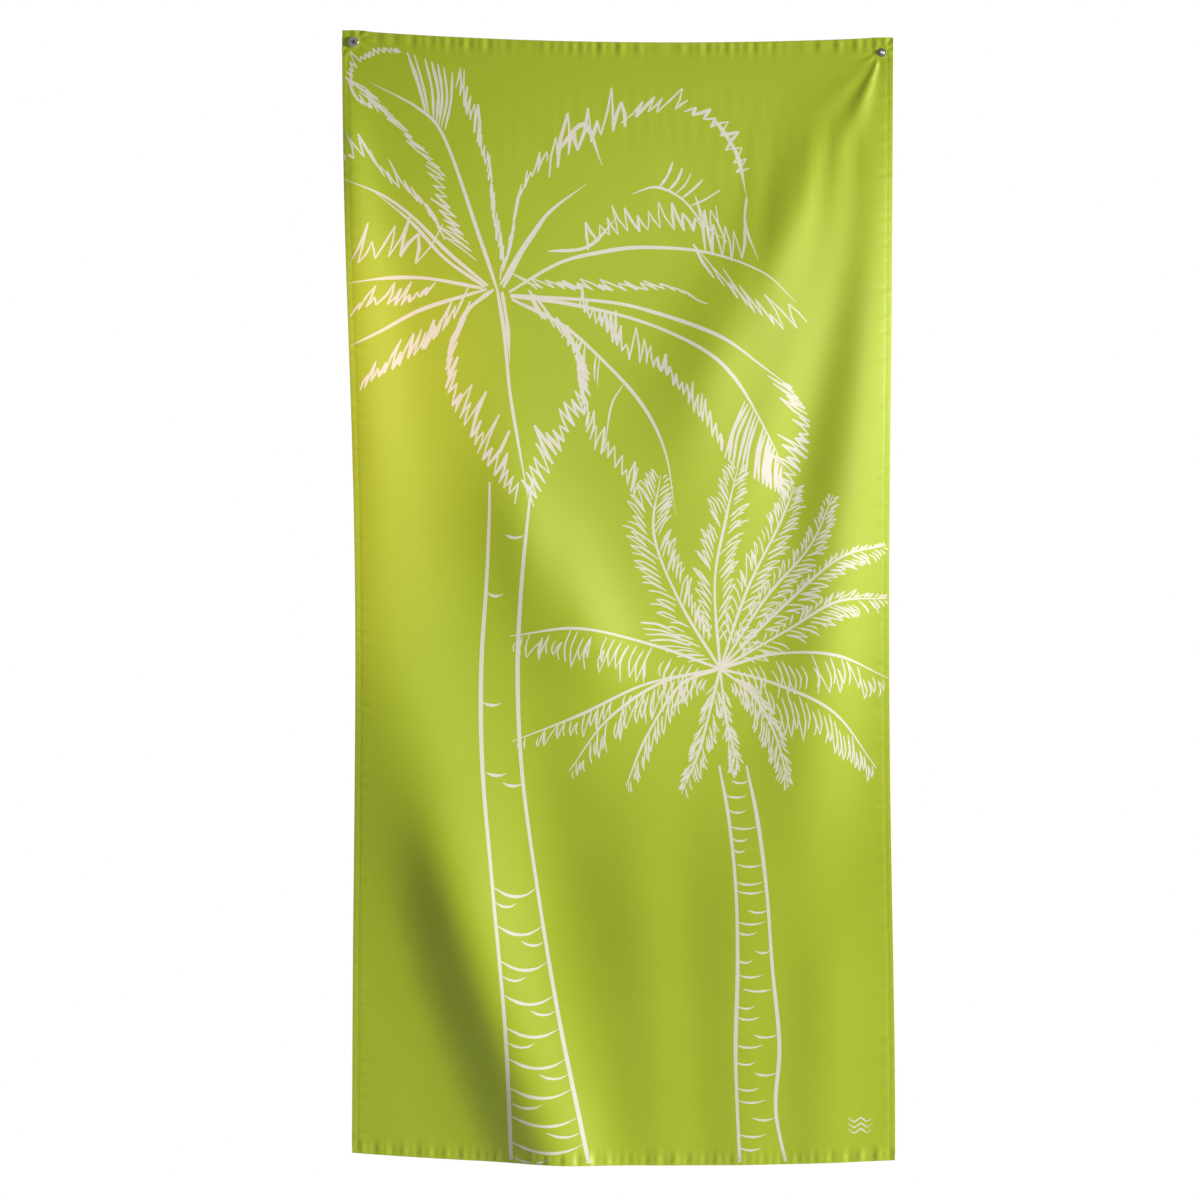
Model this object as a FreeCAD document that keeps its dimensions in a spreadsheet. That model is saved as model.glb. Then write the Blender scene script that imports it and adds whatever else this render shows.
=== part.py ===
import FreeCAD, Part

"""Beach towel hanging from the press studs in its two top corners, in millimetres.

+X is to the right of someone looking at the printed side, +Z is up and the printed side faces -Y.
The origin is midway between the two fasteners, on the front of the cloth, so it is what the towel hangs from.
Places on the cloth are given as (across, down): distances along the flat cloth from its top left corner.
"""

import math
import os
import re

import Sketcher
from FreeCAD import Placement, Rotation, Vector

DIMENSIONS = {
    # the flat cloth
    "cloth_width": 790,
    "cloth_length": 1600,
    "cloth_thickness": 0.8,
    "hem_width": 8.6,
    "hem_turns": 2,
    # the lockstitch round the hems
    "stitch_inset": 7.4,
    "thread_width": 0.5,
    "thread_height": 0.3,
    # where the fasteners sit on the flat cloth
    "fastener_inset": 16.1,
    "socket_down": 16.5,
    "stud_down": 21,
    # how the cloth hangs
    "hung_span": 754.4,
    "right_drop": 14.8,
    "top_sag": 12,
    "left_waist": 19,
    "left_foot": 15,
    "right_waist": 6,
    "right_foot": -3.5,
    "waist_down": 850,
    "fold_scale": 1,
    "flat_radius": 42,
    "free_radius": 147,
    "knot_step": 16,
    # both fasteners: the hole in the cloth and the sheet metal
    "hole_radius": 2.55,
    "plate": 0.5,
    "clinch": 0.4,
    # the socket
    "socket_radius": 7.3,
    "socket_height": 3.4,
    "socket_bore": 3.3,
    "socket_bore_length": 2.2,
    "collar_wall": 0.6,
    "rim_round": 0.45,
    "window_width": 1,
    "window_length": 5.6,
    "wire_radius": 0.4,
    "spring_half_gap": 4.5,
    "spring_leg": 3.6,
    "cap_radius": 6.9,
    "cap_height": 1.4,
    "cap_round": 0.9,
    "post_radius": 2.5,
    "post_bore": 1.6,
    "clinch_radius": 3.1,
    # the stud
    "stud_flange": 6.2,
    "stud_bore": 2.35,
    "stud_shoulder": 4.3,
    "stud_neck": 2.8,
    "stud_neck_height": 1.2,
    "stud_head": 3.1,
    "stud_head_start": 1.5,
    "stud_head_end": 3.1,
    "stud_height": 3.5,
    "eyelet_radius": 2.3,
    "eyelet_bore": 1.5,
    "eyelet_lip": 2.7,
    "edge_round": 0.2,
}

# A fold runs along a smooth curve through three places on the cloth, start, middle and end. It stands out from the
# cloth by its height, or lies behind it where that is negative. Its width grows from one end to the other, and its
# lean makes the flank on its right, as seen going down, steeper by that share, and the left one gentler. A fold
# rises from its start and sinks again towards its end, unless it runs off the cloth there.
FOLDS = [
    # name, start, middle, end, height, start width, end width, lean, runs off the cloth
    ("right swag crest", (774, 20), (590, 370), (380, 700), 22, 20, 80, 0.15, False),
    ("right swag second crest", (774, 20), (672, 400), (470, 840), 12, 13, 46, 0.2, False),
    ("right swag valley", (770, 60), (706, 440), (570, 900), -4, 20, 70, 0.0, False),
    ("right edge crest", (778, 40), (728, 640), (610, 1440), 17, 24, 64, 0.2, False),
    ("left edge crest", (8, 20), (14, 400), (44, 860), 16, 20, 56, 0.0, False),
    ("long left ridge", (-60, 560), (98, 1090), (302, 1620), 14, 78, 58, -0.06, True),
    ("left foot ridge", (80, 1040), (184, 1330), (302, 1620), 17, 66, 52, -0.35, True),
    ("left swag crest", (160, 500), (300, 770), (480, 960), 18, 50, 60, 0.25, False),
    ("middle hollow", (250, 930), (290, 1130), (360, 1400), -7, 50, 60, 0.0, False),
    ("middle flute", (400, 1050), (430, 1350), (450, 1620), 5, 40, 45, 0.0, True),
    ("right flute", (560, 1000), (560, 1300), (570, 1620), 5, 40, 40, 0.0, True),
    ("right corner flute", (700, 1200), (690, 1400), (680, 1620), 5, 30, 40, 0.0, True),
]


def make_sheet(document):
    """The spreadsheet that holds every driving dimension under its own name."""
    sheet = document.addObject("Spreadsheet::Sheet", "dimensions")
    for row, (name, value) in enumerate(DIMENSIONS.items(), start=1):
        sheet.set(f"A{row}", name)
        sheet.set(f"B{row}", str(value))
        sheet.setAlias(f"B{row}", name)
    document.recompute()
    return sheet


def ease(amount):
    """0 to 1 with level ends, for an amount that may lie outside 0 to 1."""
    amount = min(max(amount, 0.0), 1.0)
    return amount * amount * (3.0 - 2.0 * amount)


def between(low, high, amount):
    return low + (high - low) * amount


# ---------------------------------------------------------------------------------------------- how the cloth hangs


class Fold:
    """One fold, as the height that it adds at any place on the cloth."""

    SAMPLES = 60
    ENDS = 2.6  # a fold rises and sinks over one part in this many of its length

    def __init__(self, start, middle, end, height, start_width, end_width, lean, runs_off):
        self.height = height
        self.widths = (start_width, end_width)
        self.lean = lean
        self.runs_off = runs_off
        # the control point of the quadratic curve that passes through the middle place halfway
        control = [2.0 * m - 0.5 * (a + b) for a, m, b in zip(start, middle, end)]
        self.places = []
        for step in range(self.SAMPLES + 1):
            along = step / self.SAMPLES
            place = [
                (1 - along) ** 2 * a + 2 * along * (1 - along) * c + along**2 * b
                for a, c, b in zip(start, control, end)
            ]
            self.places.append((along, *place))

    def at(self, across, down):
        distance, along, near_across = min(
            (math.hypot(across - a, down - d), along, a) for along, a, d in self.places
        )
        side = (across - near_across) / distance if distance else 0.0
        width = between(*self.widths, along) * (1.0 - self.lean * side)
        rise = ease(self.ENDS * along)
        fall = 1.0 if self.runs_off else ease(self.ENDS * (1.0 - along))
        return self.height * rise * fall * math.exp(-((distance / width) ** 2))


class Drape:
    """Where each place on the flat cloth is while the towel hangs."""

    def __init__(self, sheet):
        self.sheet = sheet
        self.width = sheet.cloth_width
        self.length = sheet.cloth_length
        self.folds = [Fold(*fold[1:]) for fold in FOLDS]
        self.fasteners = [
            (sheet.fastener_inset, sheet.socket_down),
            (sheet.cloth_width - sheet.fastener_inset, sheet.stud_down),
        ]

    def sides(self, down):
        """The X of the left and right edges: the folds draw them in, most at the waist."""
        sheet = self.sheet
        half_top = 0.5 * sheet.hung_span + sheet.fastener_inset
        to_waist = ease(down / sheet.waist_down)
        to_foot = ease((down - sheet.waist_down) / (self.length - sheet.waist_down))
        left = between(0.0, sheet.left_waist, to_waist) + between(
            0.0, sheet.left_foot - sheet.left_waist, to_foot
        )
        right = between(0.0, sheet.right_waist, to_waist) + between(
            0.0, sheet.right_foot - sheet.right_waist, to_foot
        )
        return left - half_top, half_top - right

    def height(self, across, down):
        """Z: the top edge sags between the fasteners, and every thread below hangs from it."""
        sheet = self.sheet
        share = across / self.width
        left = 0.5 * sheet.right_drop + sheet.socket_down
        right = sheet.stud_down - 0.5 * sheet.right_drop
        tilt = between(right - left, 0.0, ease(down / self.length)) * (share - 0.5)
        sag = sheet.top_sag * (1.0 - (2.0 * share - 1.0) ** 2)
        return 0.5 * (left + right) + tilt - sag - down

    def depth(self, across, down):
        """Y: the folds added up, on a cloth that is flat next to the two fasteners."""
        flat, wholly_free = self.sheet.flat_radius, self.sheet.free_radius
        nearest = min(math.hypot(across - a, down - d) for a, d in self.fasteners)
        free = ease((nearest - flat) / (wholly_free - flat))
        folds = sum(fold.at(across, down) for fold in self.folds)
        return -free * self.sheet.fold_scale * folds

    def point(self, across, down):
        left, right = self.sides(down)
        return Vector(
            between(left, right, across / self.width),
            self.depth(across, down),
            self.height(across, down),
        )


def knots_and_places(length, step):
    """A clamped cubic's knots over a length, and the place on the cloth that each of its poles stands for."""
    spans = round(length / step)
    knots = [length * i / spans for i in range(spans + 1)]
    padded = [knots[0]] * 3 + knots + [knots[-1]] * 3
    places = [sum(padded[i + 1 : i + 4]) / 3.0 for i in range(spans + 3)]
    multiplicities = [4] + [1] * (spans - 1) + [4]
    return knots, multiplicities, places


def hung_surface(sheet):
    """The front of the hanging cloth. Its two parameters are the distances across and down the flat cloth."""
    drape = Drape(sheet)
    across_knots, across_counts, across_places = knots_and_places(sheet.cloth_width, sheet.knot_step)
    down_knots, down_counts, down_places = knots_and_places(sheet.cloth_length, sheet.knot_step)
    poles = [[drape.point(across, down) for down in down_places] for across in across_places]
    surface = Part.BSplineSurface()
    surface.buildFromPolesMultsKnots(
        poles, across_counts, down_counts, across_knots, down_knots, False, False, 3, 3
    )
    socket_place, stud_place = (surface.value(*place) for place in drape.fasteners)
    surface.translate((socket_place + stud_place) * -0.5)
    return surface


def layer(surface, across, down, front, thickness):
    """A strip of the hanging cloth between two distances across and down, as a solid behind Y = front."""
    strip = surface.copy()
    strip.segment(across[0], across[1], down[0], down[1])
    strip.translate(Vector(0, front, 0))
    return strip.toShape().extrude(Vector(0, thickness, 0))


# ----------------------------------------------------------------------------------------- cloth, hems and thread


def add_feature(document, label, shape):
    feature = document.addObject("Part::Feature", label)
    feature.Shape = shape
    feature.Label = label
    return feature


def make_panel(document, sheet, surface, fastener_places):
    """The printed cloth, one layer, with a punched hole for each fastener's rivet."""
    cloth = layer(
        surface, (0, sheet.cloth_width), (0, sheet.cloth_length), 0, sheet.cloth_thickness
    )
    for place in fastener_places:
        start = place - Vector(0, sheet.cloth_thickness, 0)
        punch = Part.makeCylinder(sheet.hole_radius, 3 * sheet.cloth_thickness, start, Vector(0, 1, 0))
        cloth = cloth.cut(punch)
    if cloth.ShapeType == "Compound" and len(cloth.Solids) == 1:
        cloth = cloth.Solids[0]
    return add_feature(document, "towel_panel", cloth)


def make_hems(document, sheet, surface):
    """The turned-under layers behind each edge. The side hems end against the top and bottom ones."""
    width, length, hem = sheet.cloth_width, sheet.cloth_length, sheet.hem_width
    bands = {
        "top": ((0, width), (0, hem)),
        "bottom": ((0, width), (length - hem, length)),
        "left": ((0, hem), (hem, length - hem)),
        "right": ((width - hem, width), (hem, length - hem)),
    }
    thickness = sheet.hem_turns * sheet.cloth_thickness
    return [
        add_feature(
            document,
            f"hem_{side}",
            layer(surface, across, down, sheet.cloth_thickness, thickness),
        )
        for side, (across, down) in bands.items()
    ]


def make_threads(document, sheet, surface):
    """Each hem's lockstitch: its needle thread on the front of the cloth, its bobbin thread on the hem's back."""
    width, length = sheet.cloth_width, sheet.cloth_length
    half = 0.5 * sheet.thread_width
    near, far = sheet.stitch_inset, sheet.thread_width
    across_all = (near - half, width - near + half)
    down_between = (near + half + far, length - near - half - far)
    lines = {
        "top": (across_all, (near - half, near + half)),
        "bottom": (across_all, (length - near - half, length - near + half)),
        "left": ((near - half, near + half), down_between),
        "right": ((width - near - half, width - near + half), down_between),
    }
    hem_back = (1 + sheet.hem_turns) * sheet.cloth_thickness
    threads = []
    for side, (across, down) in lines.items():
        front = layer(surface, across, down, -sheet.thread_height, sheet.thread_height)
        back = layer(surface, across, down, hem_back, sheet.thread_height)
        threads.append(add_feature(document, f"needle_thread_{side}", front))
        threads.append(add_feature(document, f"bobbin_thread_{side}", back))
    return threads


# ------------------------------------------------------------------------------------------------------ press studs

# Every press-stud piece is made about its own Z, which points out of the printed side once it is placed.
FACING_OUT = Rotation(Vector(1, 0, 0), 90)
WORD = re.compile(r"[a-z_]+")
TERM = re.compile(r"([+-]?)\s*([a-z_]+)")


def bound(expression):
    """An expression of the sheet's names as FreeCAD reads it."""
    return WORD.sub(lambda word: f"dimensions.{word.group()}", expression)


def value_of(sheet, expression):
    """What a sum or difference of the sheet's names comes to, for a sketch's first guess at its geometry."""
    return sum(
        (-1 if sign == "-" else 1) * getattr(sheet, name) for sign, name in TERM.findall(expression)
    )


def origin_plane(body, role):
    return next(feature for feature in body.Origin.OriginFeatures if feature.Role == role)


def new_sketch(body, name, plane):
    sketch = body.newObject("Sketcher::SketchObject", name)
    sketch.AttachmentSupport = [(origin_plane(body, plane), "")]
    sketch.MapMode = "FlatFace"
    return sketch


def hold(sketch, line, direction, expression):
    """Holds one coordinate of a line's first end at an expression of the sheet's names, or on the axis if it is 0."""
    if expression == "0":
        axis = -2 if direction == "DistanceX" else -1
        sketch.addConstraint(Sketcher.Constraint("PointOnObject", line, 1, axis))
        return
    value = value_of(sketch.Document.dimensions, expression)
    index = sketch.addConstraint(Sketcher.Constraint(direction, -1, 1, line, 1, value))
    sketch.setExpression(f"Constraints[{index}]", bound(expression))


def add_outline(sketch, corners):
    """A closed outline whose corners are pairs of expressions of the sheet's names."""
    sheet = sketch.Document.dimensions
    places = [
        Vector(*(0 if part == "0" else value_of(sheet, part) for part in corner), 0) for corner in corners
    ]
    first = sketch.GeometryCount
    count = len(places)
    for i, place in enumerate(places):
        sketch.addGeometry(Part.LineSegment(place, places[(i + 1) % count]), False)
    for i in range(count):
        joint = Sketcher.Constraint("Coincident", first + i, 2, first + (i + 1) % count, 1)
        sketch.addConstraint(joint)
    for i, (right, up) in enumerate(corners):
        hold(sketch, first + i, "DistanceX", right)
        hold(sketch, first + i, "DistanceY", up)


def turned(document, label, corners):
    """A body revolved about its own Z from an outline of (radius, height) corners."""
    body = document.addObject("PartDesign::Body", label)
    body.Label = label
    sketch = new_sketch(body, f"{label}_outline", "XZ_Plane")
    add_outline(sketch, corners)
    revolution = body.newObject("PartDesign::Revolution", f"{label}_turned")
    revolution.Profile = sketch
    revolution.ReferenceAxis = (sketch, ["V_Axis"])
    revolution.Angle = 360
    body.Tip = revolution
    document.recompute()
    return body


def is_rim(edge, radius, height):
    """True for a circular edge of this radius about Z, at this height."""
    curve = edge.Curve
    return (
        isinstance(curve, Part.Circle)
        and abs(curve.Radius - radius) < 1e-4
        and abs(curve.Center.z - height) < 1e-4
    )


def round_rims(document, body, rims, radius_name):
    """Rounds the circular edges at the given (radius, height) pairs, which are expressions of the sheet's names."""
    sheet = document.dimensions
    wanted = [(value_of(sheet, radius), 0 if up == "0" else value_of(sheet, up)) for radius, up in rims]
    base = body.Tip
    names = [
        f"Edge{i}"
        for i, edge in enumerate(base.Shape.Edges, start=1)
        if any(is_rim(edge, radius, height) for radius, height in wanted)
    ]
    assert len(names) == len(rims), f"{body.Label}: {len(names)} of {len(rims)} rims found"
    fillet = body.newObject("PartDesign::Fillet", f"{body.Label}_round_{len(body.Group)}")
    fillet.Base = (base, names)
    fillet.setExpression("Radius", f"dimensions.{radius_name}")
    body.Tip = fillet
    document.recompute()


def make_socket_shell(document, place):
    """The pressed shell that grips a stud: base plate, wall, face and the collar turned in round its mouth. Two
    windows in the face show the spring."""
    collar = "socket_bore + collar_wall"
    mouth = "socket_height - socket_bore_length"
    body = turned(
        document,
        "socket_shell",
        [
            ("hole_radius", "0"),
            ("socket_radius", "0"),
            ("socket_radius", "socket_height"),
            ("socket_bore", "socket_height"),
            ("socket_bore", mouth),
            (collar, mouth),
            (collar, "socket_height - plate"),
            ("socket_radius - plate", "socket_height - plate"),
            ("socket_radius - plate", "plate"),
            ("hole_radius", "plate"),
        ],
    )
    round_rims(document, body, [("socket_radius", "socket_height"), ("socket_radius", "0")], "rim_round")
    cut_windows(document, body)
    body.Placement = Placement(place, FACING_OUT)
    return body


def cut_windows(document, body):
    """One slot on each side of the mouth, through the face only, over the spring's legs."""
    before = body.Shape.Volume
    sketch = new_sketch(body, "window_outlines", "XY_Plane")
    sheet = document.dimensions
    half_width, half_length = 0.5 * sheet.window_width, 0.5 * sheet.window_length
    for side in (-1, 1):
        middle = side * sheet.spring_half_gap
        corners = [
            Vector(middle + across * half_width, along * half_length, 0)
            for across, along in ((-1, -1), (1, -1), (1, 1), (-1, 1))
        ]
        first = sketch.GeometryCount
        for i, corner in enumerate(corners):
            sketch.addGeometry(Part.LineSegment(corner, corners[(i + 1) % 4]), False)
        for i in range(4):
            sketch.addConstraint(Sketcher.Constraint("Coincident", first + i, 2, first + (i + 1) % 4, 1))
        for line, kind in enumerate(("Horizontal", "Vertical", "Horizontal", "Vertical")):
            sketch.addConstraint(Sketcher.Constraint(kind, first + line))
        inner = first + (1 if side < 0 else 3)
        sizes = [
            ("DistanceX", (first, 1, first, 2), sheet.window_width, "dimensions.window_width"),
            ("DistanceY", (first + 1, 1, first + 1, 2), sheet.window_length, "dimensions.window_length"),
        ]
        for kind, ends, value, expression in sizes:
            index = sketch.addConstraint(Sketcher.Constraint(kind, *ends, value))
            sketch.setExpression(f"Constraints[{index}]", expression)
        ends = (inner, 1, -1, 1) if side < 0 else (-1, 1, inner, 1)
        index = sketch.addConstraint(
            Sketcher.Constraint("DistanceX", *ends, sheet.spring_half_gap - half_width)
        )
        sketch.setExpression(
            f"Constraints[{index}]", "dimensions.spring_half_gap - dimensions.window_width / 2"
        )
        index = sketch.addConstraint(Sketcher.Constraint("DistanceY", first, 1, -1, 1, half_length))
        sketch.setExpression(f"Constraints[{index}]", "dimensions.window_length / 2")
    sketch.setExpression("AttachmentOffset.Base.z", "dimensions.socket_height - 1.5 * dimensions.plate")
    pocket = body.newObject("PartDesign::Pocket", "spring_windows")
    pocket.Profile = sketch
    pocket.Reversed = True
    pocket.setExpression("Length", "2 * dimensions.plate")
    body.Tip = pocket
    document.recompute()
    cut = before - body.Shape.Volume
    expected = 2 * sheet.window_width * sheet.window_length * sheet.plate
    assert abs(cut - expected) < 0.1 * expected, f"the windows cut {cut:.2f} of {expected:.2f} mm3"


def make_socket_spring(document, place):
    """The wire spring inside the shell: two legs and the bend that joins them above the mouth, sprung open as
    they are with a stud pressed in."""
    height = "dimensions.socket_height - dimensions.plate - 1.1 * dimensions.wire_radius"
    bend = document.addObject("Part::Torus", "spring_bend")
    bend.Angle3 = 180
    bend.setExpression("Radius1", "dimensions.spring_half_gap")
    bend.setExpression("Radius2", "dimensions.wire_radius")
    bend.setExpression("Placement.Base.z", height)
    pieces = [bend]
    for side, sign in (("left", "-"), ("right", "")):
        leg = document.addObject("Part::Cylinder", f"spring_leg_{side}")
        leg.Placement = Placement(Vector(), Rotation(Vector(1, 0, 0), 90))
        leg.setExpression("Radius", "dimensions.wire_radius")
        leg.setExpression("Height", "dimensions.spring_leg")
        leg.setExpression("Placement.Base.x", f"{sign}dimensions.spring_half_gap")
        leg.setExpression("Placement.Base.z", height)
        pieces.append(leg)
    spring = document.addObject("Part::MultiFuse", "socket_spring")
    spring.Shapes = pieces
    spring.Label = "socket_spring"
    spring.Placement = Placement(place, FACING_OUT)
    return spring


def make_socket_cap(document, sheet, place):
    """The domed cap behind the cloth. Its hollow post goes through the cloth and the shell's base plate, and its
    end is rolled over that plate."""
    through = "cap_height + cloth_thickness + plate"
    body = turned(
        document,
        "socket_cap",
        [
            ("0", "0"),
            ("cap_radius", "0"),
            ("cap_radius", "cap_height"),
            ("post_radius", "cap_height"),
            ("post_radius", through),
            ("clinch_radius", through),
            ("clinch_radius", f"{through} + clinch"),
            ("post_bore", f"{through} + clinch"),
            ("post_bore", "cap_height"),
            ("0", "cap_height"),
        ],
    )
    round_rims(document, body, [("cap_radius", "0")], "cap_round")
    back = Vector(0, sheet.cloth_thickness + sheet.cap_height, 0)
    body.Placement = Placement(place + back, FACING_OUT)
    return body


def make_stud_body(document, place):
    """The pressed stud: a flange on the cloth, a shoulder, a neck and the head that snaps into a socket."""
    body = turned(
        document,
        "stud_body",
        [
            ("stud_bore", "0"),
            ("stud_flange", "0"),
            ("stud_flange", "plate"),
            ("stud_shoulder", "plate"),
            ("stud_neck", "stud_neck_height"),
            ("stud_head", "stud_head_start"),
            ("stud_head", "stud_head_end"),
            ("stud_head - clinch", "stud_height"),
            ("stud_bore", "stud_height"),
        ],
    )
    round_rims(document, body, [("stud_flange", "plate")], "edge_round")
    body.Placement = Placement(place, FACING_OUT)
    return body


def make_stud_post(document, sheet, place):
    """The flanged eyelet that holds the stud on: it goes through the cloth and the stud, and its lip is rolled
    over the stud's head."""
    front = "plate + cloth_thickness + stud_height"
    body = turned(
        document,
        "stud_post",
        [
            ("eyelet_bore", "0"),
            ("stud_flange", "0"),
            ("stud_flange", "plate"),
            ("eyelet_radius", "plate"),
            ("eyelet_radius", front),
            ("eyelet_lip", front),
            ("eyelet_lip", f"{front} + clinch"),
            ("eyelet_bore", f"{front} + clinch"),
        ],
    )
    lip_top = f"{front} + clinch"
    rims = [("stud_flange", "0"), ("eyelet_lip", lip_top), ("eyelet_bore", lip_top)]
    round_rims(document, body, rims, "edge_round")
    back = Vector(0, sheet.cloth_thickness + sheet.plate, 0)
    body.Placement = Placement(place + back, FACING_OUT)
    return body


# ---------------------------------------------------------------------------------------------------------- output


def check_and_write(document, parts):
    """Stops on any failed feature or bad solid, then writes each part to its own STEP file."""
    document.recompute()
    failed = [o.Name for o in document.Objects if {"Invalid", "Error"} & set(o.State)]
    assert not failed, f"failed features: {failed}"
    for part in parts:
        shape = part.Shape
        assert not shape.isNull() and shape.isValid(), f"{part.Label} has no valid shape"
        assert len(shape.Solids) == 1, f"{part.Label} has {len(shape.Solids)} solids"
    os.makedirs("parts", exist_ok=True)
    for part in parts:
        part.Shape.exportStep(f"parts/{part.Label}.step")
        box = part.Shape.BoundBox
        print(
            f"{part.Label:22s} {part.Shape.Volume:12.1f} mm3"
            f"  X {box.XMin:8.1f} {box.XMax:8.1f}  Y {box.YMin:6.1f} {box.YMax:6.1f}"
            f"  Z {box.ZMin:8.1f} {box.ZMax:8.1f}"
        )


def main():
    document = FreeCAD.newDocument("beach_towel")
    sheet = make_sheet(document)
    surface = hung_surface(sheet)
    stud_place = Vector(0.5 * sheet.hung_span, 0, -0.5 * sheet.right_drop)
    socket_place = -stud_place
    parts = [make_panel(document, sheet, surface, (socket_place, stud_place))]
    parts += make_hems(document, sheet, surface)
    parts += make_threads(document, sheet, surface)
    parts.append(make_socket_shell(document, socket_place))
    parts.append(make_socket_spring(document, socket_place))
    parts.append(make_socket_cap(document, sheet, socket_place))
    parts.append(make_stud_body(document, stud_place))
    parts.append(make_stud_post(document, sheet, stud_place))
    check_and_write(document, parts)


main()
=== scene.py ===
import math
import random
from collections import namedtuple

import bmesh
import bpy
import numpy as np
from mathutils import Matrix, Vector
from mathutils.bvhtree import BVHTree
from mathutils.geometry import delaunay_2d_cdt


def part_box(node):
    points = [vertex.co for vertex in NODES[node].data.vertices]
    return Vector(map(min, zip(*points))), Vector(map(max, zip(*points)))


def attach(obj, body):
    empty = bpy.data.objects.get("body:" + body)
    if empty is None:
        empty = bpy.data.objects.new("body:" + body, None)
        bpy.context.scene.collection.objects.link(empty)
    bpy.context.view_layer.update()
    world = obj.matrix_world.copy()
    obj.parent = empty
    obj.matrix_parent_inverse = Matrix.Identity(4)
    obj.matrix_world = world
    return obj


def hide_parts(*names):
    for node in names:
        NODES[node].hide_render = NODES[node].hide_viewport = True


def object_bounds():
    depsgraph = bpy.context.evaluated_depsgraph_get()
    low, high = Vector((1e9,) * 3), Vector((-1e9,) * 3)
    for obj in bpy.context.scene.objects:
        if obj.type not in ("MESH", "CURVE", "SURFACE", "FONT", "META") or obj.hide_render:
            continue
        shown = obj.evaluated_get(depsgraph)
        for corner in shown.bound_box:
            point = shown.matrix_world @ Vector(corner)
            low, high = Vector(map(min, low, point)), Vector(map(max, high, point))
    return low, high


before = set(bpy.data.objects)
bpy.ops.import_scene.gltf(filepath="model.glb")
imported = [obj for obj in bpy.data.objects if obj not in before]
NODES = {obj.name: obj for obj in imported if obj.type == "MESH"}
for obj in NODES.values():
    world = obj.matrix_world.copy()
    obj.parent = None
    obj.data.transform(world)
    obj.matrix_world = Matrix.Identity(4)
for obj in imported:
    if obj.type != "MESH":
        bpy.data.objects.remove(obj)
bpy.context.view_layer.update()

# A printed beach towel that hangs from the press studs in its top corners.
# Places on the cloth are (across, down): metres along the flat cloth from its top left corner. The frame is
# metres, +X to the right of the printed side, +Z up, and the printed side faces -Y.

MM = 0.001
CLOTH_WIDTH = 790 * MM
CLOTH_LENGTH = 1600 * MM
CLOTH_THICKNESS = 0.8 * MM
HEM_WIDTH = 8.6 * MM
HEM_BACK = 2.4 * MM
STITCH_INSET = 7.4 * MM
HOLE_RADIUS = 2.55 * MM
FASTENER_INSET = 16.1 * MM
SOCKET_DOWN = 16.5 * MM
STUD_DOWN = 21 * MM


def centre_of(node):
    low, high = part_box(node)
    return (low + high) / 2


def add_object(name, data):
    thing = bpy.data.objects.new(name, data)
    bpy.context.scene.collection.objects.link(thing)
    return thing


SOCKET = centre_of("socket_shell")
STUD = centre_of("stud_body")
FASTENERS = (
    (FASTENER_INSET, SOCKET_DOWN, SOCKET),
    (CLOTH_WIDTH - FASTENER_INSET, STUD_DOWN, STUD),
)

def from_fastener(fastener, across, down):
    """How far places on the flat cloth are to the right of a fastener, below it, and from it."""
    right, below = across - fastener[0], down - fastener[1]
    return right, below, np.hypot(right, below)


# ------------------------------------------------------------------------------------------ camera

VIEW_DISTANCE = 6.0
VIEW_WIDTH = 1.714
VIEW_RIGHT = -0.0252
VIEW_UP = -0.7895


def make_camera():
    """A long lens, level and square to the towel, that sees a little more than the towel."""
    data = bpy.data.cameras.new("camera")
    data.sensor_width = 36.0
    data.lens = data.sensor_width * VIEW_DISTANCE / VIEW_WIDTH
    camera = add_object("camera", data)
    camera.location = (VIEW_RIGHT, -VIEW_DISTANCE, VIEW_UP)
    camera.rotation_euler = (math.radians(90), 0, 0)
    bpy.context.scene.camera = camera


make_camera()

# ------------------------------------------------------------------------------- the hanging cloth

GRID_STEP = 10 * MM
ACROSS_COUNT = round(CLOTH_WIDTH / GRID_STEP) + 1
DOWN_COUNT = round(CLOTH_LENGTH / GRID_STEP) + 1


def node_points(name):
    mesh = NODES[name].data
    points = np.empty(len(mesh.vertices) * 3)
    mesh.vertices.foreach_get("co", points)
    return points.reshape(-1, 3)


OUTLINE_BANDS = 50
OUTLINE_PASSES = 4
OUTLINE_DEGREE = 6
OUTLINE_SLACK = 1 * MM


def outline(points, along, value, side):
    """The outer edge of a hem as a smooth curve of one axis over another. side is 1 where the hem's outer
    edge has the highest values and -1 where it has the lowest."""
    low, high = points[:, along].min(), points[:, along].max()
    band = ((points[:, along] - low) / (high - low) * (OUTLINE_BANDS - 1)).astype(int)
    outer = np.array([max(points[band == i], key=lambda p: side * p[value]) for i in np.unique(band)])
    for _ in range(OUTLINE_PASSES):
        curve = np.polynomial.Polynomial.fit(outer[:, along], outer[:, value], OUTLINE_DEGREE)
        outer = outer[side * (outer[:, value] - curve(outer[:, along])) > -OUTLINE_SLACK]
    return curve


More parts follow.
